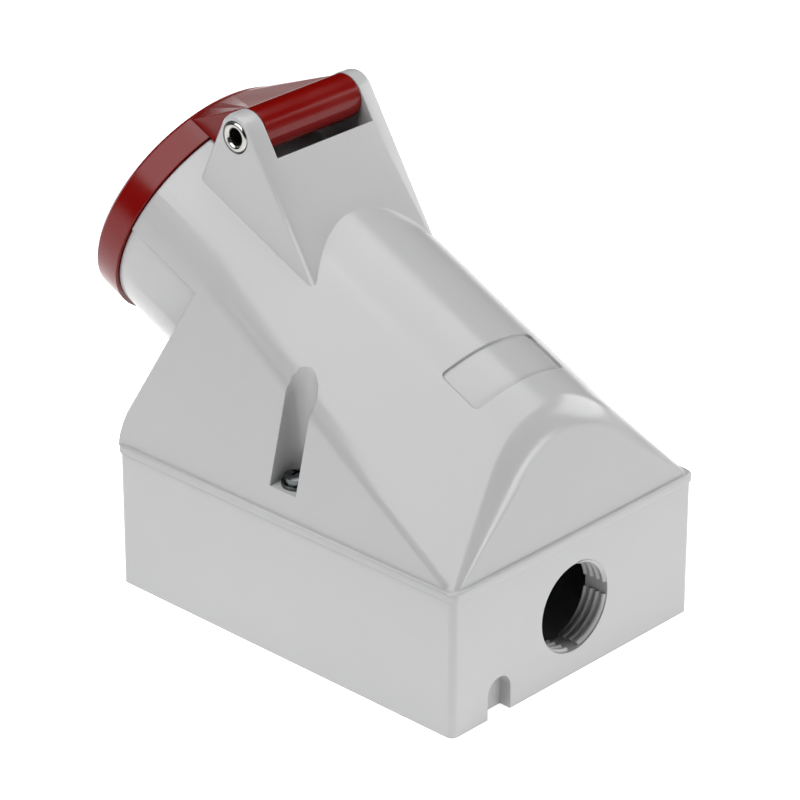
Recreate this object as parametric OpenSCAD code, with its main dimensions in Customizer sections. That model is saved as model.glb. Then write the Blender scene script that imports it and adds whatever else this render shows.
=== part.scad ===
// Industrial wall socket: a box for the wall, a hooded cover with a tilted
// collar, a contact insert and a spring-closed lid on a hinge pin.
// X runs across the box, Y from the cable entry to the socket end, Z away from
// the wall. The origin is the centre of the back face.

/* [Box] */
// Width of the cover's rim across X
box_w = 92.4; // [88:0.2:100]
// Length of the cover's rim along Y
box_l = 120.4; // [114:0.2:126]
// Height of the seam between base and cover
box_h = 38.6; // [37:0.2:42]
// Wall thickness of base and cover
wall = 3; // [2.5:0.1:3.5]
// Radius of the upright corners
corner_r = 2.5; // [2:0.25:5]
// Overhang of the cover's rim beyond the base
seam_step = 0.5; // [0.2:0.1:0.8]
// Height of the upright rim at the foot of the cover
rim_h = 1.5; // [1:0.1:2.5]
// Rounding of the cover's edge above the rim
rim_soft = 0.9; // [0.6:0.1:1.5]

/* [Cable entry] */
// Radius of the entry hole
entry_r = 12.6; // [10:0.1:13]
// Length of the entry hole with its inner boss
entry_depth = 7.5; // [6:0.5:11]
// Thickness of the boss round the entry hole
entry_boss = 3; // [2:0.25:4]
// Width of the blind notch in the edge of the entry face
notch_w = 8.4; // [6:0.2:10]
// Height of the notch
notch_h = 10.8; // [8:0.2:12]
// Depth of the notch
notch_d = 3.5; // [2:0.25:5]
// Distance of the notch from the middle of the entry face
notch_x = 28.4; // [24:0.2:32]

/* [Hood and collar] */
// Angle between the socket axis and the wall
tilt = 25; // [23:0.5:27]
// Height of the socket axis above the wall at mid length
axis_h = 59.9; // [58:0.1:62]
// Outer radius of the collar
collar_r = 33.8; // [33.5:0.1:35]
// Step from the collar up to the skin of the hood
skin_step = 0.4; // [0.3:0.1:0.8]
// Inner radius of the collar
bore_r = 29; // [28.5:0.1:29.5]
// Front edge of the collar along the axis
collar_end = 74.4; // [73:0.2:78]
// End face of the hood along the axis
face_s = 48.8; // [47:0.1:50]
// Rounding between the end face and the upright lip below it
lip_r = 25; // [10:1:40]
// Height of the skin's lower edge above the axis
skin_edge = 5.9; // [4:0.1:9]
// Backward lean of the gable above the entry face
gable_lean = 9; // [5:0.5:12]
// Rounding of the gable's top edge
gable_r = 4.75; // [4:0.25:7]
// Set-back of the hood's sides from the rim
side_in = 0.9; // [0.6:0.1:2]
// Width of the keyway in the collar
key_w = 9; // [7:0.25:11]
// Depth of the keyway
key_d = 2.4; // [1.5:0.1:3]
// Depth of the collar, from its front edge to the insert's seat
socket_depth = 38.4; // [36:0.2:40]

/* [Label recess] */
// Width of the bare recess on the hood
label_w = 33; // [26:0.5:36]
// Length of the recess along the axis
label_l = 13.5; // [10:0.25:16]
// Place of the recess along the axis
label_s = -23.6; // [-26:0.2:-20]
// Depth of the recess
label_d = 0.7; // [0.4:0.1:1.2]

/* [Screw wells] */
// Radius of each screw well
well_r = 4.6; // [4.4:0.1:5]
// Shift of the wells' round ends from the screws towards the middle
well_in = 0.9; // [0:0.1:1.2]
// Distance of the wells from the middle
well_x = 38; // [37:0.1:38.5]
// Place of the wells along Y
well_y = 1; // [-2:0.25:4]
// Height of the well floor
well_z = 47; // [46:0.2:49]
// Wall round each well
well_wall = 2; // [1.6:0.1:2.4]

/* [Hinge] */
// Height of the hinge pin above the socket axis
pin_u = 44.75; // [44.2:0.05:46]
// Place of the hinge pin along the axis
pin_s = 62.3; // [61.5:0.1:63]
// Radius of the pin
pin_r = 3; // [2.6:0.05:3.2]
// Wall of the hollow pin
pin_wall = 0.7; // [0.5:0.05:0.9]
// Radius of the rounded ears
ear_r = 6.1; // [5.8:0.1:6.6]
// Half width across the ears
ear_x = 22.6; // [21.5:0.1:24]
// Half width of the gap between the ears
gap_x = 17.4; // [16.8:0.1:18]
// Slope of the wedge behind the ears, to the axis
wedge_slope = 33.6; // [32:0.2:36]
// Distance of the gap's rear edge behind the pin
gap_back = 10.8; // [9.5:0.1:12]
// Rounding of the ears' outer edges
ear_round = 1.8; // [1:0.1:2.4]
// Radius of the seat for the pin's rolled end
seat_r = 4.4; // [4.2:0.05:4.7]
// Depth of that seat
seat_d = 1.5; // [1.2:0.1:2]

/* [Lid] */
// Outer radius of the lid
lid_r = 34.9; // [33.8:0.1:35]
// Thickness of the lid along the axis
lid_h = 8.6; // [7.5:0.1:10]
// Gap between the lid's rim and the collar
lid_gap = 0.3; // [0.2:0.05:0.5]
// Thickness of the lid's rim and plate
lid_wall = 2.6; // [2:0.1:3]
// Half width of the hinge arm
arm_x = 15.4; // [14:0.1:16]
// Radius of the hinge barrel
barrel_r = 6; // [5.6:0.05:6.3]
// Wall of the barrel over the spring
barrel_wall = 1.1; // [0.9:0.05:1.3]
// Depth of the spring pocket in the barrel's end
pocket_d = 15; // [12:0.25:18]
// Width of the lid gasket
seal_w = 2.8; // [2.2:0.1:3]
// Wire radius of the lid spring
wire_r = 0.45; // [0.35:0.05:0.5]
// Turns of the lid spring
turns = 7; // [5:1:9]

/* [Insert] */
// Radius of the contact carrier
carrier_r = 23.6; // [23:0.1:24]
// Distance of the carrier's front behind the collar's edge
carrier_back = 4.4; // [3:0.2:6]
// Thickness of the carrier's flange
flange_t = 4; // [3:0.25:5]
// Radius of the circle of contacts
contact_circle = 13.5; // [13:0.1:14]
// Bore radius of the line and neutral contacts
line_bore = 2.5; // [2.2:0.05:2.7]
// Bore radius of the earth contact
earth_bore = 3.5; // [3.2:0.05:3.7]
// Wall of a contact sleeve
sleeve_wall = 1.6; // [1.3:0.05:1.8]
// Length of the terminal housing
terminal_l = 16.8; // [15:0.2:18]
// Thickness of the seal between flange and collar
flange_seal = 1.2; // [0.8:0.1:1.6]

/* [Fasteners] */
// Shank radius of the cover screws
screw_r = 2; // [1.8:0.05:2.2]
// Shank length of the cover screws
screw_l = 30; // [24:1:34]
// Head radius of the cover screws
head_r = 3.6; // [3.3:0.1:3.8]
// Head height of the cover screws
head_h = 2.6; // [2.2:0.1:3]
// Washer thickness under the cover screws
washer_t = 1; // [0.8:0.1:1.2]
// Shank radius of the insert's screws
small_r = 1.65; // [1.4:0.05:1.75]
// Shank radius of the terminal screws
terminal_r = 1.9; // [1.6:0.05:2]

/* [Wall fixing] */
// Radius of the fixing holes in the back
fix_r = 2.6; // [2.2:0.1:3]
// Spacing of the fixing holes across X
fix_x = 66; // [58:1:68]
// Spacing of the fixing holes along Y
fix_y = 88; // [78:1:92]

/* [Hidden] */
$fn = 96;
hull_fn = 64;
leg_steps = 8;
arc_steps = 14;
edge_steps = 6;

// Clearances, and the small lengths by which cuts overshoot
fit = 0.05;
touch = 0.1;
slip = 0.25;
cut = 1;
thin = 0.2;
hull_in = 0.1;
far = box_l + box_w;

// Base
base_w = box_w - 2 * seam_step;
base_l = box_l - 2 * seam_step;
base_r = corner_r - seam_step;
inner_r = 1;
entry_z = box_h / 2;
groove_w = wall * 0.4;
groove_in = (wall - groove_w) / 2;
groove_d = 1.2;
column_r = screw_r + 2.2;
pad_r = fix_r + 3;
pad_h = 2;

// Hood and collar
skin_r = collar_r + skin_step;
seat_s = collar_end - socket_depth;
shell_end = face_s - wall;
kink_z = axis_h + (face_s - cos(tilt) * box_l / 2) / sin(tilt);
lip_t = min(lip_r * tan(tilt / 2), kink_z - box_h - rim_h);
rim_top = box_h + rim_h;
low_in = side_in + wall + thin;
lean_all = tilt + gable_lean;
label_r = 1.5;

// Insert
flange_front = seat_s - flange_seal;
flange_back = flange_front - flange_t;
flange_r = skin_r - wall - 0.7;
seal_out = flange_r - slip;
carrier_front = collar_end - carrier_back;
terminal_back = flange_back - terminal_l;
terminal_body_r = carrier_r - 1;
boss_x = 30.5;
boss_u = -20;
boss_r = small_r + 2.4;
lug_r = boss_r + 0.4;
small_l = flange_t + 9;
small_head_r = small_r + 1.4;
small_head_h = 2;
sleeve_front = carrier_front - 4;
sleeve_back = terminal_back + 2;
sleeve_room = 1;
bore_end = flange_front - 3;
slit_w = 0.7;
slit_l = 20;
spring_ring = 0.6;
spring_l = 3;
wire_hole = 2.1;
wire_depth = 12;
clamp_s = sleeve_back + 5;
clamp_r = contact_circle + 1.2;
clamp_l = 6;
contact_angles = [54, 126, 198, 342, 270];
earth = 4;

// Fasteners
screw_seat = well_z + washer_t;
screw_tip = screw_seat - screw_l;
slot_w = 0.8;
slot_d = 1;

// Hinge and lid
lid_back = collar_end + lid_gap;
lid_front = lid_back + lid_h;
plate_back = lid_front - lid_wall;
seal_out_r = lid_r - lid_wall - touch;
lid_edge = 1;
lid_panel_r = 26;
lid_panel_h = 0.8;
fence_h = 3;
fence_r = seal_out_r - seal_w - touch;
arm_room = 0.7;
barrel_x = gap_x - lid_gap;
barrel_hole = pin_r + fit;
pocket_r = barrel_r - barrel_wall;
coil_r = (pin_r + pocket_r) / 2;
coil_start = barrel_x - pocket_d + wire_r + touch;
coil_end = barrel_x - wire_r - touch;
leg_end = gap_x + 3;
curl_r = (seat_r - slip - pin_r + pin_wall) / 2;
foot_u = skin_r * 0.6;

// Colours
light_grey = [0.78, 0.79, 0.80];
lid_red = [0.60, 0.03, 0.03];
rubber_black = [0.08, 0.08, 0.08];
insert_grey = [0.20, 0.20, 0.22];
brass = [0.80, 0.65, 0.30];
zinc = [0.72, 0.74, 0.76];

// Frame of the socket: local Z along its axis towards the lid, local Y upwards
module on_axis()
    translate([0, 0, axis_h])
        rotate([tilt - 90, 0, 0])
            rotate([0, 0, 180])
                children();

// Frame of the hinge: local Z along the pin
module on_pin()
    on_axis()
        translate([0, pin_u, pin_s])
            rotate([0, 90, 0])
                children();

module mirrored_x() {
    children();
    mirror([1, 0, 0]) children();
}

module rounded_rect(w, l, r) {
    square([w - 2 * r, l], center = true);
    square([w, l - 2 * r], center = true);
    for (x = [-1, 1], y = [-1, 1])
        translate([x * (w / 2 - r), y * (l / 2 - r)])
            circle(r);
}

// A cylinder between two places along local Z
module round_bar(r, from, to)
    translate([0, 0, from]) cylinder(r = r, h = to - from);

module ring(outer, inner, from, to)
    difference() {
        round_bar(outer, from, to);
        round_bar(inner, from - cut, to + cut);
    }

module at_wells()
    mirrored_x() translate([well_x, well_y, 0]) children();

module at_bosses()
    on_axis() mirrored_x() translate([boss_x, boss_u, 0]) children();

module at_contact(i)
    on_axis() rotate([0, 0, contact_angles[i]]) translate([contact_circle, 0, 0]) children();

// Frame of a terminal screw: local Z points away from the socket axis
module at_clamp(i)
    on_axis() rotate([0, 0, contact_angles[i]]) translate([0, 0, clamp_s]) rotate([0, 90, 0]) children();

module at_fixings()
    for (x = [-1, 1], y = [-1, 1])
        translate([x * fix_x / 2, y * fix_y / 2, 0])
            children();

function bore_of(i) = i == earth ? earth_bore : line_bore;
function sleeve_of(i) = bore_of(i) + sleeve_wall;

// Base

module entry_axis()
    translate([0, -base_l / 2, entry_z]) rotate([-90, 0, 0]) children();

module notch_form(grow, depth)
    translate([-notch_x, depth - base_l / 2, 0])
        rotate([90, 0, 0])
            linear_extrude(depth + cut) {
                translate([0, notch_h - notch_w / 2]) circle(notch_w / 2 + grow);
                translate([-notch_w / 2 - grow, -cut])
                    square([notch_w + 2 * grow, notch_h - notch_w / 2 + cut]);
            }

module base_outline() rounded_rect(base_w, base_l, base_r);

module base_bosses()
    intersection() {
        linear_extrude(box_h) base_outline();
        union() {
            entry_axis() cylinder(r = entry_r + entry_boss, h = entry_depth);
            notch_form(wall, notch_d + wall);
            at_wells() cylinder(r = column_r, h = box_h);
            at_fixings() cylinder(r = pad_r, h = wall + pad_h);
        }
    }

// A band that follows the base's rim, as far in from its outside as given
module seam_band(inset, w)
    difference() {
        rounded_rect(base_w - 2 * inset, base_l - 2 * inset, base_r - inset);
        rounded_rect(base_w - 2 * (inset + w), base_l - 2 * (inset + w), inner_r / 2);
    }

module base_box()
    color(light_grey)
        difference() {
            union() {
                difference() {
                    linear_extrude(box_h) base_outline();
                    translate([0, 0, wall])
                        linear_extrude(box_h)
                            rounded_rect(base_w - 2 * wall, base_l - 2 * wall, inner_r);
                }
                base_bosses();
            }
            entry_axis() round_bar(entry_r, -cut, entry_depth + cut);
            notch_form(0, notch_d);
            at_fixings() round_bar(fix_r, -cut, wall + pad_h + cut);
            at_wells() round_bar(screw_r + fit, screw_tip - cut, box_h + cut);
            translate([0, 0, box_h - groove_d])
                linear_extrude(groove_d + cut)
                    seam_band(groove_in, groove_w);
        }

module housing_gasket()
    color(rubber_black)
        translate([0, 0, box_h - groove_d])
            linear_extrude(groove_d)
                seam_band(groove_in + fit, groove_w - 2 * fit);

// Cover

// A point given across the hood, up from the socket axis and along it
function on_hood(x, u, s) = [x, s * cos(tilt) - u * sin(tilt), axis_h + s * sin(tilt) + u * cos(tilt)];
function hood_u(y, z) = (z - axis_h) * cos(tilt) - y * sin(tilt);

// Place along the axis where a height above it meets a plane behind the gable
function gable_s(u, depth) = (
    depth + (side_in - box_l / 2) * cos(gable_lean)
    + (axis_h - rim_top) * sin(gable_lean) + u * sin(lean_all)
) / cos(lean_all);

// Angle at which the tangent from a point beside the round touches it
function touch_angle(r, x, u) = atan2(u, x) + acos(r / norm([x, u]));

// Foot of the hood's leg at an angle of its rounded corner
function foot(inset, a) =
    let (round = max(corner_r - side_in - inset, inner_r))
    [
        inset + round * (1 - sin(a)) - box_w / 2 + side_in,
        side_in - box_l / 2 + (inset + round * (1 - cos(a))) / cos(gable_lean),
        rim_top
    ];

// Angle at which the legs of the gable run into the round
function leg_angle(inset) =
    let (p = foot(inset, 90))
    touch_angle(skin_r - inset, -p[0], hood_u(p[1], p[2]));

// Height over the axis of the rim's top, at a place along it
function rim_u(s) = (rim_top - axis_h - s * sin(tilt)) / cos(tilt);

// Angle at which the flat sides run into the round at the end face
function side_angle(inset, s) =
    touch_angle(skin_r - inset, box_w / 2 - side_in - inset, rim_u(s));

// Left half of a rib at an angle of the gable's rounded edge: a straight leg, then the arc to the top
function gable_rib(inset, a) =
    let (
        r = skin_r - inset - (gable_r - inset) * (1 - sin(a)),
        depth = inset + (gable_r - inset) * (1 - cos(a)),
        start = leg_angle(inset),
        low = foot(inset, a),
        high = on_hood(-r * cos(start), r * sin(start), gable_s(r * sin(start), depth))
    )
    [
        for (i = [0 : leg_steps - 1]) low + (high - low) * i / leg_steps,
        for (j = [0 : arc_steps])
            let (b = start + (90 - start) * j / arc_steps)
            on_hood(-r * cos(b), r * sin(b), gable_s(r * sin(b), depth))
    ];

// Left half of a rib square to the axis: the round from the flat side to the top
function round_rib(inset, knee, s) =
    let (r = skin_r - inset, low = side_angle(inset, knee), start = leg_angle(inset))
    [
        for (i = [0 : leg_steps - 1])
            let (b = low + (start - low) * i / leg_steps)
            on_hood(-r * cos(b), r * sin(b), s),
        for (j = [0 : arc_steps])
            let (b = start + (90 - start) * j / arc_steps)
            on_hood(-r * cos(b), r * sin(b), s)
    ];

function whole_rib(half) = [
    each half,
    for (i = [len(half) - 2 : -1 : 0]) [-half[i][0], half[i][1], half[i][2]]
];

// The hood, lofted from the rounded gable through the end face to its end along the axis
module hood_form(inset, end) {
    knee = min(face_s, end - thin);
    x = box_w / 2 - side_in - inset;
    u = rim_u(knee);
    last = edge_steps + 2;
    n = 2 * (leg_steps + arc_steps) + 1;
    corner = n * (last + 1);
    points = [
        for (k = [0 : edge_steps]) each whole_rib(gable_rib(inset, 90 * k / edge_steps)),
        each whole_rib(round_rib(inset, knee, knee)),
        each whole_rib(round_rib(inset, knee, end)),
        for (side = [-1, 1], s = [knee, end]) on_hood(side * x, u, s)
    ];
    polyhedron(points, [
        [for (i = [0 : n - 1]) i],
        for (k = [0 : last - 1], i = [0 : n - 2], half = [0, 1])
            let (a = k * n + i)
            half == 0 ? [a, a + n, a + n + 1] : [a, a + n + 1, a + 1],
        [edge_steps * n, corner, (last - 1) * n],
        [edge_steps * n + n - 1, last * n - 1, corner + 2],
        [(last - 1) * n, corner, corner + 1, last * n],
        [last * n - 1, last * n + n - 1, corner + 3, corner + 2],
        [corner + 3, for (i = [n - 1 : -1 : 0]) last * n + i, corner + 1],
        [
            for (k = [0 : edge_steps]) k * n + n - 1,
            corner + 2, corner,
            for (k = [edge_steps : -1 : 0]) k * n
        ],
        [corner + 2, corner + 3, corner + 1, corner]
    ]);
}

// The rim's rectangle, its upper edge rounded in steps
module rim()
    hull()
        for (x = [-1, 1], y = [-1, 1], a = [0 : 30 : 90]) {
            reach = corner_r + rim_soft * (1 - cos(a));
            translate([x * (box_w / 2 - reach), y * (box_l / 2 - reach), box_h])
                cylinder(r = corner_r, h = rim_h + rim_soft * sin(a), $fn = hull_fn / 4);
        }

// What stands in front of the end face, below the skin, and beyond the rim
module hood_front_cut() {
    on_axis()
        translate([-far / 2, skin_edge - far, face_s])
            cube([far, far, far]);
    translate([-far / 2, box_l / 2, 0])
        cube([far, far, axis_h]);
    lip_round();
}

// What stands in front of the collar's edge, below the hinge
module collar_front_cut()
    on_axis() round_bar(skin_r + cut, collar_end, far);

// The sliver outside the arc that joins the end face to the lip
module lip_round() {
    r = lip_t / tan(tilt / 2);
    translate([-far / 2, 0, 0])
        rotate([90, 0, 90])
            linear_extrude(far)
                difference() {
                    polygon([
                        [box_l / 2, kink_z - lip_t],
                        [box_l / 2 + cut, kink_z],
                        [box_l / 2 - lip_t * sin(tilt), kink_z + lip_t * cos(tilt)]
                    ]);
                    translate([box_l / 2 - r, kink_z - lip_t]) circle(r + hull_in);
                }
}

// Outline of an ear, rounded over the pin and running down the wedge's slope
module ear_outline(inset) {
    r = ear_r - inset;
    slope_u = pin_u + r * cos(wedge_slope);
    slope_s = pin_s - r * sin(wedge_slope);
    translate([pin_u, pin_s]) circle(r, $fn = hull_fn);
    translate([foot_u, pin_s + r - thin]) square(thin);
    translate([foot_u, slope_s - (slope_u - foot_u) / tan(wedge_slope)]) square(thin);
}

module hinge_block()
    difference() {
        on_axis()
            hull()
                for (a = [0 : 30 : 90])
                    mirrored_x()
                        translate([ear_x - ear_round * (1 - cos(a)) - thin, 0, 0])
                            rotate([90, 0, 90])
                                linear_extrude(thin)
                                    ear_outline(ear_round * (1 - sin(a)));
        on_axis()
            translate([-gap_x, 0, pin_s - gap_back])
                cube([2 * gap_x, far, far]);
    }

module well_form(grow, from)
    translate([0, 0, from]) {
        translate([-well_in, 0, 0]) cylinder(r = well_r + grow, h = far);
        translate([-well_in, -well_r - grow, 0]) cube([far, 2 * (well_r + grow), far]);
    }

module cavity()
    difference() {
        union() {
            hood_form(wall, shell_end);
            translate([0, 0, box_h - cut])
                linear_extrude(rim_h + cut + thin)
                    rounded_rect(box_w - 2 * low_in, box_l - 2 * low_in, inner_r);
        }
        translate([-far / 2, box_l / 2 - side_in - wall, 0]) cube([far, far, axis_h]);
        on_axis() round_bar(collar_r, seat_s, far);
        at_wells() well_form(well_wall, 0);
        at_bosses() round_bar(boss_r, flange_front, far);
    }

module label_cut()
    on_axis()
        intersection() {
            ring(skin_r + cut, skin_r - label_d, label_s - label_l, label_s + label_l);
            translate([0, 0, label_s])
                rotate([-90, 0, 0])
                    linear_extrude(far)
                        rounded_rect(label_w, label_l, label_r);
        }

module cover()
    color(light_grey)
        difference() {
            union() {
                difference() {
                    union() {
                        hood_form(0, collar_end + cut);
                        rim();
                    }
                    hood_front_cut();
                }
                on_axis() round_bar(collar_r, shell_end, collar_end + cut);
                hinge_block();
            }
            cavity();
            on_axis() round_bar(bore_r, seat_s - cut, far);
            collar_front_cut();
            on_axis()
                translate([-key_w / 2, -bore_r - key_d, seat_s + cut])
                    cube([key_w, bore_r, far]);
            label_cut();
            at_wells() well_form(0, well_z);
            at_wells() round_bar(screw_r + slip, box_h - cut, well_z + cut);
            at_bosses() round_bar(small_r + fit, flange_front - cut, shell_end);
            on_pin() round_bar(pin_r + fit, -far, far);
            on_pin() mirror([0, 0, 1]) round_bar(seat_r, ear_x - seat_d, far);
            on_pin() round_bar(seat_r, ear_x - seat_d, far);
            on_pin() translate([0, coil_r, 0]) round_bar(wire_r + touch, gap_x - cut, leg_end + touch);
        }

module cover_screws()
    color(zinc)
        at_wells()
            difference() {
                union() {
                    round_bar(screw_r, screw_tip, screw_seat + thin);
                    translate([0, 0, screw_seat])
                        rotate_extrude()
                            intersection() {
                                square([head_r, head_h]);
                                translate([0, head_h - 2 * head_r]) circle(2 * head_r);
                            }
                }
                for (a = [0, 90])
                    rotate(a)
                        translate([-head_r * 0.6, -slot_w / 2, screw_seat + head_h - slot_d])
                            cube([head_r * 1.2, slot_w, slot_d + cut]);
            }

module screw_washers()
    color(zinc)
        at_wells() ring(well_r - slip, screw_r + touch, well_z, screw_seat);

// Insert

module contact_carrier()
    color(insert_grey)
        difference() {
            union() {
                on_axis() round_bar(carrier_r, flange_back, carrier_front);
                on_axis() round_bar(flange_r, flange_back, flange_front);
                on_axis()
                    translate([-boss_x, boss_u - lug_r, flange_back])
                        cube([2 * boss_x, 2 * lug_r, flange_t]);
                at_bosses() round_bar(lug_r, flange_back, flange_front);
            }
            for (i = [0 : len(contact_angles) - 1])
                at_contact(i) round_bar(sleeve_of(i) + sleeve_room, flange_back - cut, carrier_front + cut);
            at_bosses() round_bar(small_r + slip, flange_back - cut, flange_front + cut);
        }

module carrier_seal()
    color(rubber_black)
        on_axis() ring(seal_out, bore_r + touch, flange_front, seat_s);

module terminal_housing()
    color(insert_grey)
        difference() {
            on_axis() round_bar(terminal_body_r, terminal_back, flange_back);
            for (i = [0 : len(contact_angles) - 1]) {
                at_contact(i) round_bar(sleeve_of(i) + fit, terminal_back - cut, flange_back + cut);
                at_clamp(i) round_bar(terminal_r + slip, contact_circle, far);
            }
        }

module carrier_screws()
    color(zinc)
        at_bosses()
            difference() {
                union() {
                    round_bar(small_r, flange_back - thin, flange_back + small_l);
                    round_bar(small_head_r, flange_back - small_head_h, flange_back);
                }
                translate([-small_head_r - cut, -slot_w / 2, flange_back - small_head_h - cut])
                    cube([2 * (small_head_r + cut), slot_w, slot_d + cut]);
            }

// A slit sleeve for the plug's pin, with a hole for the wire and its screw behind
module contact(i)
    color(brass)
        difference() {
            at_contact(i) round_bar(sleeve_of(i), sleeve_back, sleeve_front);
            at_contact(i) round_bar(bore_of(i), bore_end, sleeve_front + cut);
            at_contact(i) round_bar(wire_hole, sleeve_back - cut, sleeve_back + wire_depth);
            at_contact(i)
                translate([-far / 2, -slit_w / 2, sleeve_front - slit_l])
                    cube([far, slit_w, far]);
            at_clamp(i) round_bar(terminal_r + fit, contact_circle, far);
        }

module contact_l1() contact(0);
module contact_l2() contact(1);
module contact_l3() contact(2);
module contact_n() contact(3);
module contact_pe() contact(earth);

module sleeve_springs()
    color(zinc)
        for (i = [0 : len(contact_angles) - 1])
            at_contact(i)
                ring(
                    sleeve_of(i) + fit + spring_ring, sleeve_of(i) + fit,
                    sleeve_front - 3 * spring_l, sleeve_front - 2 * spring_l
                );

module terminal_screws()
    color(zinc)
        for (i = [0 : len(contact_angles) - 1])
            at_clamp(i)
                difference() {
                    round_bar(terminal_r, clamp_r, clamp_r + clamp_l);
                    translate([-far / 2, -slot_w / 2, clamp_r + clamp_l - slot_d])
                        cube([far, slot_w, far]);
                }

// Hinge and lid

// A hollow pin whose ends are rolled outwards onto their seats
module hinge_pin()
    color(zinc)
        on_pin()
            difference() {
                union() {
                    round_bar(pin_r, seat_d - curl_r - ear_x, ear_x - seat_d + curl_r);
                    for (side = [-1, 1])
                        translate([0, 0, side * (ear_x - seat_d + curl_r)])
                            rotate_extrude()
                                translate([pin_r - pin_wall + curl_r, 0])
                                    circle(curl_r, $fn = hull_fn / 2);
                }
                round_bar(pin_r - pin_wall, -far, far);
            }

module lid_cap()
    on_axis() {
        round_bar(lid_r, lid_back - cut, lid_front - lid_edge);
        translate([0, 0, lid_front - lid_edge])
            cylinder(r1 = lid_r, r2 = lid_r - lid_edge, h = lid_edge);
        round_bar(lid_panel_r, lid_front - lid_edge, lid_front + lid_panel_h);
    }

// The arm: the top of the lid's face drawn back onto the hinge barrel
module lid_arm()
    hull() {
        on_pin() cylinder(r = barrel_r - hull_in, h = 2 * arm_x, center = true, $fn = hull_fn);
        on_axis()
            intersection() {
                translate([0, 0, plate_back + hull_in])
                    cylinder(r = lid_r - hull_in, h = lid_wall - lid_edge - 2 * hull_in, $fn = 2 * hull_fn);
                translate([-arm_x, lid_r / 2, 0])
                    cube([2 * arm_x, far, far]);
            }
    }

// The inside of the lid, round the fence that holds the gasket
module lid_hollow()
    on_axis()
        difference() {
            round_bar(lid_r - lid_wall, lid_back - 2 * cut, plate_back);
            ring(fence_r, fence_r - lid_wall, plate_back - fence_h, far);
        }

module lid()
    color(lid_red)
        difference() {
            union() {
                lid_cap();
                lid_arm();
                on_pin() round_bar(barrel_r, -barrel_x, barrel_x);
            }
            on_axis() round_bar(skin_r + arm_room, 0, lid_back);
            lid_hollow();
            on_pin() round_bar(barrel_hole, -far, far);
            on_pin() round_bar(pocket_r, barrel_x - pocket_d, far);
        }

module lid_gasket()
    color(rubber_black)
        on_axis() ring(seal_out_r, seal_out_r - seal_w, collar_end + touch, plate_back);

// Points of the spring's wire: its turns round the pin, then a leg into the ear
steps = 12;
sides = 8;
pitch = (coil_end - coil_start) / turns;
coil = [for (k = [0 : turns * steps])
    let (a = 90 + 360 * (k - turns * steps) / steps)
    [coil_r * cos(a), coil_r * sin(a), coil_start + pitch * k / steps]];
function ring_points(c, a) = [for (j = [0 : sides - 1])
    let (b = 360 * j / sides, r = wire_r * cos(b))
    [c[0] + r * cos(a), c[1] + r * sin(a), c[2] + wire_r * sin(b)]];

module lid_spring()
    color(zinc)
        on_pin() {
            points = [for (k = [0 : turns * steps])
                each ring_points(coil[k], 90 + 360 * (k - turns * steps) / steps)];
            last = turns * steps * sides;
            polyhedron(points, [
                for (j = [2 : sides - 1]) [0, j, j - 1],
                for (k = [0 : turns * steps - 1], j = [0 : sides - 1], half = [0, 1])
                    let (a = k * sides + j, b = k * sides + (j + 1) % sides)
                    half == 0 ? [a, b + sides, a + sides] : [a, b, b + sides],
                for (j = [2 : sides - 1]) [last, last + j - 1, last + j]
            ]);
            translate([0, coil_r, 0]) round_bar(wire_r, coil_end - wire_r, leg_end);
        }

base_box();
housing_gasket();
cover();
cover_screws();
screw_washers();
contact_carrier();
carrier_seal();
terminal_housing();
carrier_screws();
contact_l1();
contact_l2();
contact_l3();
contact_n();
contact_pe();
sleeve_springs();
terminal_screws();
hinge_pin();
lid();
lid_gasket();
lid_spring();
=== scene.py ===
"""Looks of an industrial wall socket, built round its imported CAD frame."""
import math
from functools import partial

import bmesh
import bpy
from mathutils import Matrix, Vector


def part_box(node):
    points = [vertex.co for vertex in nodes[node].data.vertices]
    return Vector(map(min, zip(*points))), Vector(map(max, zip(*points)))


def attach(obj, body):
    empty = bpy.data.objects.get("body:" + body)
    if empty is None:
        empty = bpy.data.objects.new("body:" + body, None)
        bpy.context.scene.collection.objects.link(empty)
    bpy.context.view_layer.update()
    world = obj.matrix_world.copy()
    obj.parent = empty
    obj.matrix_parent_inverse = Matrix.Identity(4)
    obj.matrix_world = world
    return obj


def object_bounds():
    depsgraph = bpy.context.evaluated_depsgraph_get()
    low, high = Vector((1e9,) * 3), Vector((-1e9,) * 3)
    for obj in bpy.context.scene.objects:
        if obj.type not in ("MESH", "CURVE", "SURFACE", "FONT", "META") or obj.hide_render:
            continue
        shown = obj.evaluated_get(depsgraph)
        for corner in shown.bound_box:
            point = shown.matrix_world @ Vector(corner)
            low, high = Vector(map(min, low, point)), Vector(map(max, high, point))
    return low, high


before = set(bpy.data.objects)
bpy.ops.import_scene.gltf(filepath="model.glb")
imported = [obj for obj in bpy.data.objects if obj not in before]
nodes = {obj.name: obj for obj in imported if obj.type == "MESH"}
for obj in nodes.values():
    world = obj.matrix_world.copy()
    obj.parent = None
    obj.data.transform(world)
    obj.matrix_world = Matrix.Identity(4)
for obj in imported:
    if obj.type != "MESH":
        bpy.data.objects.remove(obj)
cad_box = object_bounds()
MM = 0.001

# Camera of the photograph, in the frame's axes, with angles in degrees and the clip range in metres
IMAGE_SIDE = 800
FOCAL_PX = 3976.2
SENSOR = 36.0
CAM_AZIMUTH = -46.725
CAM_ELEVATION = 26.272
CAM_ROLL = 0.1335
CAM_PLACE = Vector((-671.53, -630.90, 512.33)) * MM
CAM_CLIP = (0.01, 20)

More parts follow.
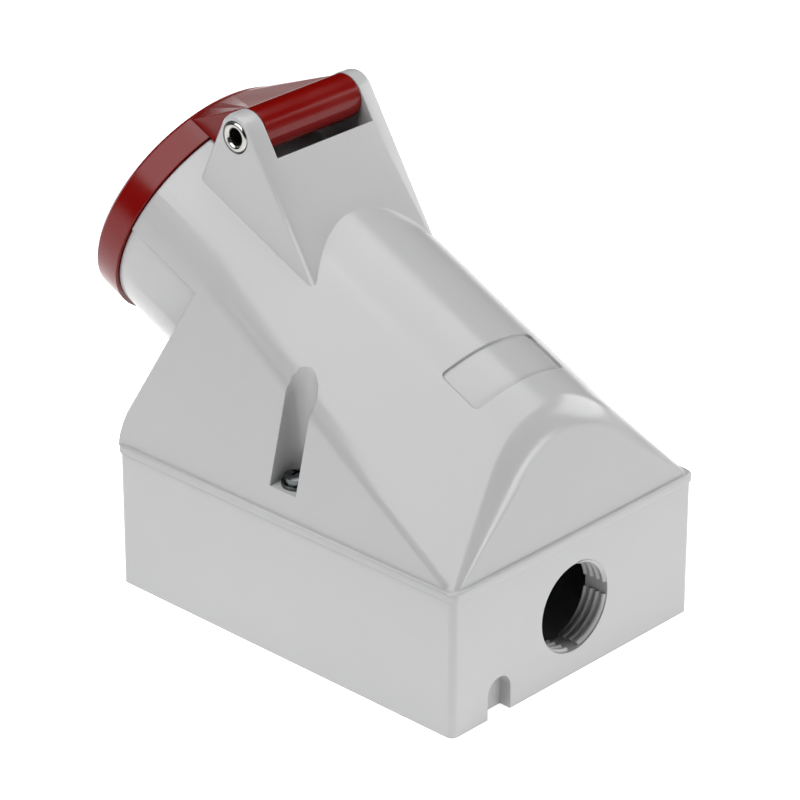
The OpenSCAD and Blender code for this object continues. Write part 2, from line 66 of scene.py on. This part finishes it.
# The cover's hood about its tilted axis, in mm and degrees
HOOD_AXIS = 59.9  # height of the axis at Y 0
HOOD_TILT = 25
HOOD_R = 34.2
HOOD_END = 48.8  # end face, along the axis
HOOD_FOOT = (45.3, 6.432, -60.644)  # foot of the gable: to the side, over the axis and along it
HOOD_FAN = (12.90, 49.71)  # angles on the end circle between which lines fan out from the foot
HOOD_EDGES = ((0.6745, -61.23), (0.8678, -66.27))  # slope and start of the lines along the gable's edge
GABLE_LEAN = 9
GABLE_OFF = 64.843  # distance of the gable's plane from the origin

# Which facets count as the hood's skin or its gable, in mm and cosines
LEAST_REACH = 0.1  # keeps the fan's lines finite at the foot
END_SLACK = 0.05
SKIN_LIKENESS = 0.86
GABLE_SLACK = 0.02
GABLE_LIKENESS = 0.7

# Shading and bevels of the CAD nodes, in mm and degrees
WELD = 0.003
SHARP_FROM = 24
BEVEL_FROM = 30
BEVEL_STEPS = 3

# Thread of the cable entry, in mm and degrees, with its ridges broken by gaps
THREAD_R = 12.6
THREAD_FIRST = 1.05  # depth of the first ridge
THREAD_LAST = 7.4  # depth that no ridge passes
THREAD_PITCH = 2.1
THREAD_TURNS = 4
THREAD_START = -259
THREAD_ARC = 73
ARCS_PER_TURN = 4
ARC_STEP = 3
THREAD_CREASE = 50
RIDGE_FLANK = ((0.10, 0.86), (-0.18, 0.72), (-0.66, 0.34))  # out from the bore, and along from the crest
RIDGE_CREST = (-0.80, 0.0)
RIDGE = (*((out, -along) for out, along in RIDGE_FLANK), RIDGE_CREST, *reversed(RIDGE_FLANK))

# Colours in linear light
GREY_PLASTIC = (0.405, 0.405, 0.41)
RED_PLASTIC = (0.155, 0.0022, 0.0015)
RUBBER = (0.012, 0.012, 0.013)
INSERT_PLASTIC = (0.035, 0.035, 0.04)
BRASS = (0.78, 0.57, 0.25)
ZINC = (0.40, 0.42, 0.43)
STEEL = (0.11, 0.12, 0.12)
NICKEL = (0.46, 0.45, 0.43)
PAPER = (0.9, 0.9, 0.9)
SPECK = (0.22, 0.22, 0.22, 1)
WHITE = (1, 1, 1, 1)

# Surfaces, with lengths in metres and scales in features per metre
NOISE_RANGE = (0.3, 0.7)
SOFT_RADIUS = 0.4 * MM
SOFT_SAMPLES = 6
SPECK_SIZE = 0.28 * MM
SPECK_APART = 12 * MM
CLOUD_SCALE, CLOUD_DETAIL = 60, 4
GLOSS_SPREAD = 0.04
GRAIN_DETAIL = 5
GRAIN_DEPTH = 0.05 * MM
STAIN_SCALE, STAIN_DETAIL, STAIN_SPREAD = 300, 3, 0.08
SCRATCH_DETAIL = 6
SCRATCH_SHINE, SCRATCH_HAZE = 0.06, 0.08
SCRATCH_RELIEF = 0.15
SCRATCH_DEPTH = 0.03 * MM

# Stage, in metres: the floor glows under the part and less far from it
FLOOR_REACH = 3.0
FLOOR_DROP = 0.2 * MM
FLOOR_SCALE, FLOOR_SPREAD, FLOOR_ROUGHNESS = 30, 0.01, 0.9
GLOW_NEAR, GLOW_FAR = 0.06, 0.24
FLOOR_GLOW, FLOOR_EDGE = 0.75, 0.45
SKY = 0.0

# Place and size of each light in metres, and its power in watts
LIGHTS = {
    "left": ((-0.62, 0.22, 0.95), (1.0, 1.2), 13.0),
    "front": ((0.28, -1.10, 0.16), (0.9, 0.28), 4.7),
    "right": ((1.03, -0.36, 0.46), (0.8, 0.6), 5.6),
    "overhead": ((0.25, 0.02, 1.20), (0.7, 1.0), 6.5),
}


# Node trees
def connect(tree, node, inputs):
    """Sets a node's inputs to values, or links them to the outputs of other nodes."""
    for socket, value in inputs.items():
        if isinstance(value, bpy.types.NodeSocket):
            tree.links.new(value, node.inputs[socket])
        else:
            node.inputs[socket].default_value = value


def add_node(tree, kind, inputs=None, **settings):
    """A new node of a kind, with its settings and inputs."""
    node = tree.nodes.new(kind)
    for key, value in settings.items():
        setattr(node, key, value)
    connect(tree, node, inputs or {})
    return node


def math_node(tree, operation, *values):
    """The result of an operation on numbers or outputs of other nodes."""
    return add_node(tree, "ShaderNodeMath", dict(enumerate(values)), operation=operation).outputs[0]


def vector_node(tree, operation, result, *values):
    """The named result of an operation on vectors."""
    node = add_node(tree, "ShaderNodeVectorMath", dict(enumerate(values)), operation=operation)
    return node.outputs[result]


# Materials
def shader(name):
    """A node material with its Principled shader, ready for links."""
    mat = bpy.data.materials.new(name)
    mat.use_nodes = True
    tree = mat.node_tree
    return mat, tree, tree.nodes["Principled BSDF"]


def noise(tree, scale, detail=3.0):
    """Noise in object space, in features per metre."""
    coords = add_node(tree, "ShaderNodeTexCoord")
    return add_node(tree, "ShaderNodeTexNoise", {
        "Vector": coords.outputs["Object"], "Scale": scale, "Detail": detail,
    }).outputs["Fac"]


def ramp(tree, value, low, high, ends=NOISE_RANGE, curve="LINEAR"):
    """Maps a value between two ends, those of noise unless given, to the range from low to high."""
    return add_node(tree, "ShaderNodeMapRange", {
        "Value": value, "From Min": ends[0], "From Max": ends[1], "To Min": low, "To Max": high,
    }, interpolation_type=curve).outputs["Result"]


def blend(tree, factor, one, other):
    """A mix of two colours."""
    return add_node(tree, "ShaderNodeMix", {
        "Factor": factor, "A": one, "B": other,
    }, data_type="RGBA").outputs["Result"]


def tint(tree, value, colour, spread):
    """A colour that wanders by a share of itself with a noise value."""
    low, high = 1 - spread, 1 + spread
    return blend(tree, value, (*(low * c for c in colour), 1), (*(min(1, high * c) for c in colour), 1))


def bump(tree, value, strength, distance, edge=0.0):
    """The normal of a fine relief from a noise value, over edges eased by a radius."""
    relief = {"Height": value, "Strength": strength, "Distance": distance}
    if edge:
        soft = add_node(tree, "ShaderNodeBevel", {"Radius": edge}, samples=SOFT_SAMPLES)
        relief["Normal"] = soft.outputs["Normal"]
    return add_node(tree, "ShaderNodeBump", relief).outputs["Normal"]


def specks(tree, colour, share):
    """A colour with sparse dark specks, one in each of a share of the cells that space is split into."""
    coords = add_node(tree, "ShaderNodeTexCoord")
    cells = add_node(tree, "ShaderNodeTexVoronoi", {
        "Vector": coords.outputs["Object"], "Scale": 1 / SPECK_APART,
    })
    draw = add_node(tree, "ShaderNodeSeparateColor", {"Color": cells.outputs["Color"]})
    near = math_node(tree, "LESS_THAN", cells.outputs["Distance"], SPECK_SIZE / SPECK_APART)
    some = math_node(tree, "LESS_THAN", draw.outputs["Red"], share)
    return blend(tree, math_node(tree, "MULTIPLY", near, some), colour, SPECK)


def moulded(name, colour, roughness, spread, grain, relief, ior=1.5, edge=0.0, dust=0.0):
    """Moulded plastic: a faint cloud in its colour, uneven gloss, a fine grain and specks."""
    mat, tree, bsdf = shader(name)
    cloud = noise(tree, CLOUD_SCALE, CLOUD_DETAIL)
    shade = tint(tree, cloud, colour, spread)
    connect(tree, bsdf, {
        "Base Color": specks(tree, shade, dust) if dust else shade,
        "Roughness": ramp(tree, cloud, roughness - GLOSS_SPREAD, roughness + GLOSS_SPREAD),
        "IOR": ior,
        "Normal": bump(tree, noise(tree, grain, GRAIN_DETAIL), relief, GRAIN_DEPTH, edge),
    })
    return mat


def metal(name, colour, roughness, grain):
    """Plated metal with fine scratches in its gloss."""
    mat, tree, bsdf = shader(name)
    fine = noise(tree, grain, SCRATCH_DETAIL)
    connect(tree, bsdf, {
        "Base Color": tint(tree, noise(tree, STAIN_SCALE, STAIN_DETAIL), colour, STAIN_SPREAD),
        "Metallic": 1.0,
        "Roughness": ramp(tree, fine, roughness - SCRATCH_SHINE, roughness + SCRATCH_HAZE),
        "Normal": bump(tree, fine, SCRATCH_RELIEF, SCRATCH_DEPTH),
    })
    return mat


def floor_paper():
    """White paper that glows, most in the middle of the floor."""
    mat, tree, bsdf = shader("floor_paper")
    coords = add_node(tree, "ShaderNodeTexCoord")
    reach = vector_node(tree, "LENGTH", "Value", coords.outputs["Object"])
    connect(tree, bsdf, {
        "Base Color": tint(tree, noise(tree, FLOOR_SCALE), PAPER, FLOOR_SPREAD),
        "Roughness": FLOOR_ROUGHNESS,
        "Emission Color": WHITE,
        "Emission Strength": ramp(tree, reach, FLOOR_GLOW, FLOOR_EDGE, (GLOW_NEAR, GLOW_FAR), "SMOOTHSTEP"),
    })
    return mat


GREY = moulded("grey_plastic", GREY_PLASTIC, roughness=0.22, spread=0.012, grain=2500, relief=0.03,
               edge=SOFT_RADIUS, dust=0.10)
RED = moulded("red_plastic", RED_PLASTIC, roughness=0.20, spread=0.05, grain=2500, relief=0.05,
              ior=1.36, edge=SOFT_RADIUS)
BLACK = moulded("black_rubber", RUBBER, roughness=0.65, spread=0.15, grain=4000, relief=0.3)
DARK = moulded("dark_insert", INSERT_PLASTIC, roughness=0.45, spread=0.08, grain=3000, relief=0.1)
BRASS_METAL = metal("brass", BRASS, roughness=0.28, grain=3000)
ZINC_METAL = metal("zinc", ZINC, roughness=0.22, grain=3000)
STEEL_METAL = metal("dark_steel", STEEL, roughness=0.2, grain=3000)
NICKEL_METAL = metal("nickel", NICKEL, roughness=0.2, grain=2500)

MATERIALS = {
    "base_box": GREY,
    "cover": GREY,
    "lid": RED,
    "housing_gasket": BLACK,
    "carrier_seal": BLACK,
    "lid_gasket": BLACK,
    "contact_carrier": DARK,
    "terminal_housing": DARK,
    **{f"contact_{pole}": BRASS_METAL for pole in ("l1", "l2", "l3", "n", "pe")},
    "cover_screws": STEEL_METAL,
    "screw_washers": STEEL_METAL,
    "carrier_screws": ZINC_METAL,
    "terminal_screws": ZINC_METAL,
    "sleeve_springs": ZINC_METAL,
    "lid_spring": ZINC_METAL,
    "hinge_pin": NICKEL_METAL,
}
# Large pieces in sight, and the bevel of their sharp edges in mm: without one, the material softens them
SOFT_EDGES = {"base_box": 0.5, "cover": 0.0, "lid": 0.0}


def paint(obj, mat):
    """Gives an object one material."""
    obj.data.materials.clear()
    obj.data.materials.append(mat)


def show(name, data):
    """A new object in the scene."""
    obj = bpy.data.objects.new(name, data)
    bpy.context.scene.collection.objects.link(obj)
    return obj


# Shading of the CAD nodes
def modifier_group(name):
    """An empty group of geometry nodes, with its input and output."""
    group = bpy.data.node_groups.new(name, "GeometryNodeTree")
    for way in ("INPUT", "OUTPUT"):
        group.interface.new_socket("Geometry", in_out=way, socket_type="NodeSocketGeometry")
    return group, group.nodes.new("NodeGroupInput").outputs[0], group.nodes.new("NodeGroupOutput")


def even_shading():
    """Geometry nodes that weld a mesh and shade it smooth across all but its sharp edges."""
    group, source, target = modifier_group("even_shading")
    turn = add_node(group, "GeometryNodeInputMeshEdgeAngle")
    flat = add_node(group, "FunctionNodeCompare", {
        "A": turn.outputs["Unsigned Angle"], "B": math.radians(SHARP_FROM),
    }, operation="LESS_THAN")
    weld = add_node(group, "GeometryNodeMergeByDistance", {"Geometry": source, "Distance": WELD * MM})
    faces = add_node(group, "GeometryNodeSetShadeSmooth", {"Geometry": weld.outputs[0]})
    edges = add_node(group, "GeometryNodeSetShadeSmooth", {
        "Geometry": faces.outputs[0], "Shade Smooth": flat.outputs["Result"],
    }, domain="EDGE")
    connect(group, target, {"Geometry": edges.outputs[0]})
    return group


def hood_form(group, place):
    """The normal of the hood's smooth form at a place, and whether its skin reaches there.

    That form is a flat side, a fan from the foot of the gable to the end face, and a round about the
    tilted axis. u is the height over that axis and s the place along it.
    """
    calc = partial(math_node, group)
    tilt = math.radians(HOOD_TILT)
    foot_x, foot_u, foot_s = (c * MM for c in HOOD_FOOT)
    first, last = (math.radians(a) for a in HOOD_FAN)
    end_s = HOOD_END * MM

    def tilted(one, other):
        cosine, sine = math.cos(tilt), math.sin(tilt)
        return (
            calc("SUBTRACT", calc("MULTIPLY", one, cosine), calc("MULTIPLY", other, sine)),
            calc("ADD", calc("MULTIPLY", one, sine), calc("MULTIPLY", other, cosine)),
        )

    x, y, z = add_node(group, "ShaderNodeSeparateXYZ", {0: place}).outputs
    wide = calc("ABSOLUTE", x)
    u, s = tilted(calc("SUBTRACT", z, HOOD_AXIS * MM), y)

    # Angle on the round of the line from the foot through the place, or of the place itself
    reach = calc("DIVIDE", end_s - foot_s, calc("MAXIMUM", calc("SUBTRACT", s, foot_s), LEAST_REACH * MM))
    end_x = calc("MULTIPLY_ADD", calc("SUBTRACT", wide, foot_x), reach, foot_x)
    end_u = calc("MULTIPLY_ADD", calc("SUBTRACT", u, foot_u), reach, foot_u)
    fan = calc("MINIMUM", calc("MAXIMUM", calc("ARCTAN2", end_u, end_x), first), last)
    turn = calc("MAXIMUM", calc("ARCTAN2", u, wide), fan)

    # The normal there, square to the end circle and to that line
    across, up = calc("COSINE", turn), calc("SINE", turn)
    rise = calc("MULTIPLY_ADD", across, foot_x, calc("MULTIPLY_ADD", up, foot_u, -HOOD_R * MM))
    side = calc("MULTIPLY", calc("MULTIPLY", across, end_s - foot_s), calc("SIGN", x))
    ahead, above = tilted(calc("MAXIMUM", rise, 0.0), calc("MULTIPLY", up, end_s - foot_s))
    form = add_node(group, "ShaderNodeCombineXYZ", {0: side, 1: ahead, 2: above})
    smooth = vector_node(group, "NORMALIZE", "Vector", form.outputs[0])

    # The skin lies between the gable's edge and the end face
    edge = calc("MINIMUM", *(calc("MULTIPLY_ADD", u, slope, start * MM) for slope, start in HOOD_EDGES))
    past_edge = calc("GREATER_THAN", s, edge)
    return smooth, calc("MULTIPLY", past_edge, calc("LESS_THAN", s, end_s + END_SLACK * MM))


def hood_shading():
    """Geometry nodes that give the facets of the hood's skin the normals of its smooth form.

    The gable's facets get the normal of its plane, and facets folded back over it are left out.
    """
    group, source, target = modifier_group("hood_shading")
    calc = partial(math_node, group)
    dot = partial(vector_node, group, "DOT_PRODUCT", "Value")
    place = add_node(group, "GeometryNodeInputPosition").outputs[0]
    normal = add_node(group, "GeometryNodeInputNormal")
    facet = add_node(group, "GeometryNodeFieldOnDomain", {
        "Value": normal.outputs["True Normal"],
    }, domain="FACE", data_type="FLOAT_VECTOR").outputs[0]

    smooth, inside = hood_form(group, place)
    skin = calc("MULTIPLY", inside, calc("GREATER_THAN", dot(facet, smooth), SKIN_LIKENESS))

    lean = math.radians(GABLE_LEAN)
    flat = Vector((0, -math.cos(lean), math.sin(lean)))
    facing = dot(facet, flat)
    height = calc("ABSOLUTE", calc("SUBTRACT", dot(place, flat), GABLE_OFF * MM))
    near = calc("LESS_THAN", height, GABLE_SLACK * MM)
    gable = calc("MULTIPLY", near, calc("GREATER_THAN", facing, GABLE_LIKENESS))
    folded = calc("MULTIPLY", near, calc("LESS_THAN", facing, 0.0))

    chosen = normal.outputs["Normal"]
    for where, better in ((skin, smooth), (gable, flat)):
        chosen = add_node(group, "GeometryNodeSwitch", {
            "Switch": where, "False": chosen, "True": better,
        }, input_type="VECTOR").outputs[0]
    kept = add_node(group, "GeometryNodeDeleteGeometry", {
        "Geometry": source, "Selection": folded,
    }, domain="FACE")
    shaded = add_node(group, "GeometryNodeSetMeshNormal", {
        "Mesh": kept.outputs[0], "Custom Normal": chosen,
    }, mode="FREE", domain="CORNER")
    connect(group, target, {"Geometry": shaded.outputs[0]})
    return group


EVEN = even_shading()


def ease(obj, width):
    """Softens a CAD node's sharp edges by a width, and evens the shading of its facets."""
    obj.modifiers.new("even", "NODES").node_group = EVEN
    if width:
        soft = obj.modifiers.new("soft", "BEVEL")
        soft.limit_method = "ANGLE"
        soft.angle_limit = math.radians(BEVEL_FROM)
        soft.width = width
        soft.segments = BEVEL_STEPS
    weight = obj.modifiers.new("weight", "WEIGHTED_NORMAL")
    weight.mode = "FACE_AREA_WITH_ANGLE"
    weight.keep_sharp = True


for name, mat in MATERIALS.items():
    paint(nodes[name], mat)

for name, width in SOFT_EDGES.items():
    ease(nodes[name], width * MM)
nodes["cover"].modifiers.new("hood", "NODES").node_group = hood_shading()


# Thread of the cable entry
def ridge(form, centre, turn, start):
    """Adds one arc of the thread's ridge to a mesh, from a start angle, in one of its turns."""
    steps = round(THREAD_ARC / ARC_STEP)
    rings = []
    for i in range(steps + 1):
        degrees = start + THREAD_ARC * i / steps
        angle = math.radians(degrees)
        depth = THREAD_FIRST + THREAD_PITCH * (turn - degrees / 360)
        ring = []
        for out, along in RIDGE:
            r = THREAD_R + out
            point = Vector((r * math.cos(angle), min(depth + along, THREAD_LAST), r * math.sin(angle)))
            ring.append(form.verts.new(centre + point * MM))
        rings.append(ring)
    for one, other in zip(rings, rings[1:]):
        for j in range(len(RIDGE)):
            k = (j + 1) % len(RIDGE)
            form.faces.new((one[j], one[k], other[k], other[j]))
    form.faces.new(reversed(rings[0]))
    form.faces.new(rings[-1])


def thread(name, centre):
    """The ridges of an inside thread round a hole along Y, whose mouth has its centre at a place."""
    form = bmesh.new()
    for turn in range(THREAD_TURNS):
        for start in range(THREAD_START, THREAD_START + 360, 360 // ARCS_PER_TURN):
            ridge(form, centre, turn, start)
    bmesh.ops.recalc_face_normals(form, faces=form.faces)
    for edge in form.edges:
        edge.smooth = edge.calc_face_angle(0) < math.radians(THREAD_CREASE)
    for face in form.faces:
        face.smooth = True
    mesh = bpy.data.meshes.new(name)
    form.to_mesh(mesh)
    form.free()
    piece = show(name, mesh)
    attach(piece, "housing")
    paint(piece, GREY)


low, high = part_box("base_box")
thread("entry_thread", Vector((0, low.y, (low.z + high.z) / 2)))

# Stage
floor_mesh = bpy.data.meshes.new("floor")
corners = [(x * FLOOR_REACH, y * FLOOR_REACH, 0) for x, y in ((-1, -1), (1, -1), (1, 1), (-1, 1))]
floor_mesh.from_pydata(corners, [], [(0, 1, 2, 3)])
floor = show("floor", floor_mesh)
floor.location.z = -FLOOR_DROP
paint(floor, floor_paper())


def area_light(name, place, target, size, power):
    """A rectangular light that faces a target."""
    data = bpy.data.lights.new(name, "AREA")
    data.shape = "RECTANGLE"
    data.size, data.size_y = size
    data.energy = power
    light = show(name, data)
    light.location = place
    light.rotation_mode = "QUATERNION"
    light.rotation_quaternion = (target - Vector(place)).to_track_quat("-Z", "Y")


for name, (place, size, power) in LIGHTS.items():
    area_light(name, place, (cad_box[0] + cad_box[1]) / 2, size, power)

world = bpy.data.worlds.new("studio")
world.use_nodes = True
world.node_tree.nodes["Background"].inputs["Strength"].default_value = SKY
bpy.context.scene.world = world
bpy.context.scene.view_settings.view_transform = "Standard"

# Camera
az, el, roll = (math.radians(a) for a in (CAM_AZIMUTH, CAM_ELEVATION, CAM_ROLL))
back = Vector((math.sin(az) * math.cos(el), -math.cos(az) * math.cos(el), math.sin(el)))
right = Vector((math.cos(az), math.sin(az), 0))
up = back.cross(right)
cam_x = right * math.cos(roll) + up * math.sin(roll)
cam_y = up * math.cos(roll) - right * math.sin(roll)
lens = bpy.data.cameras.new("camera")
lens.sensor_width = SENSOR
lens.lens = FOCAL_PX * SENSOR / IMAGE_SIDE
lens.clip_start, lens.clip_end = CAM_CLIP
camera = show("camera", lens)
camera.matrix_world = Matrix.Translation(CAM_PLACE) @ Matrix((cam_x, cam_y, back)).transposed().to_4x4()
bpy.context.scene.camera = camera
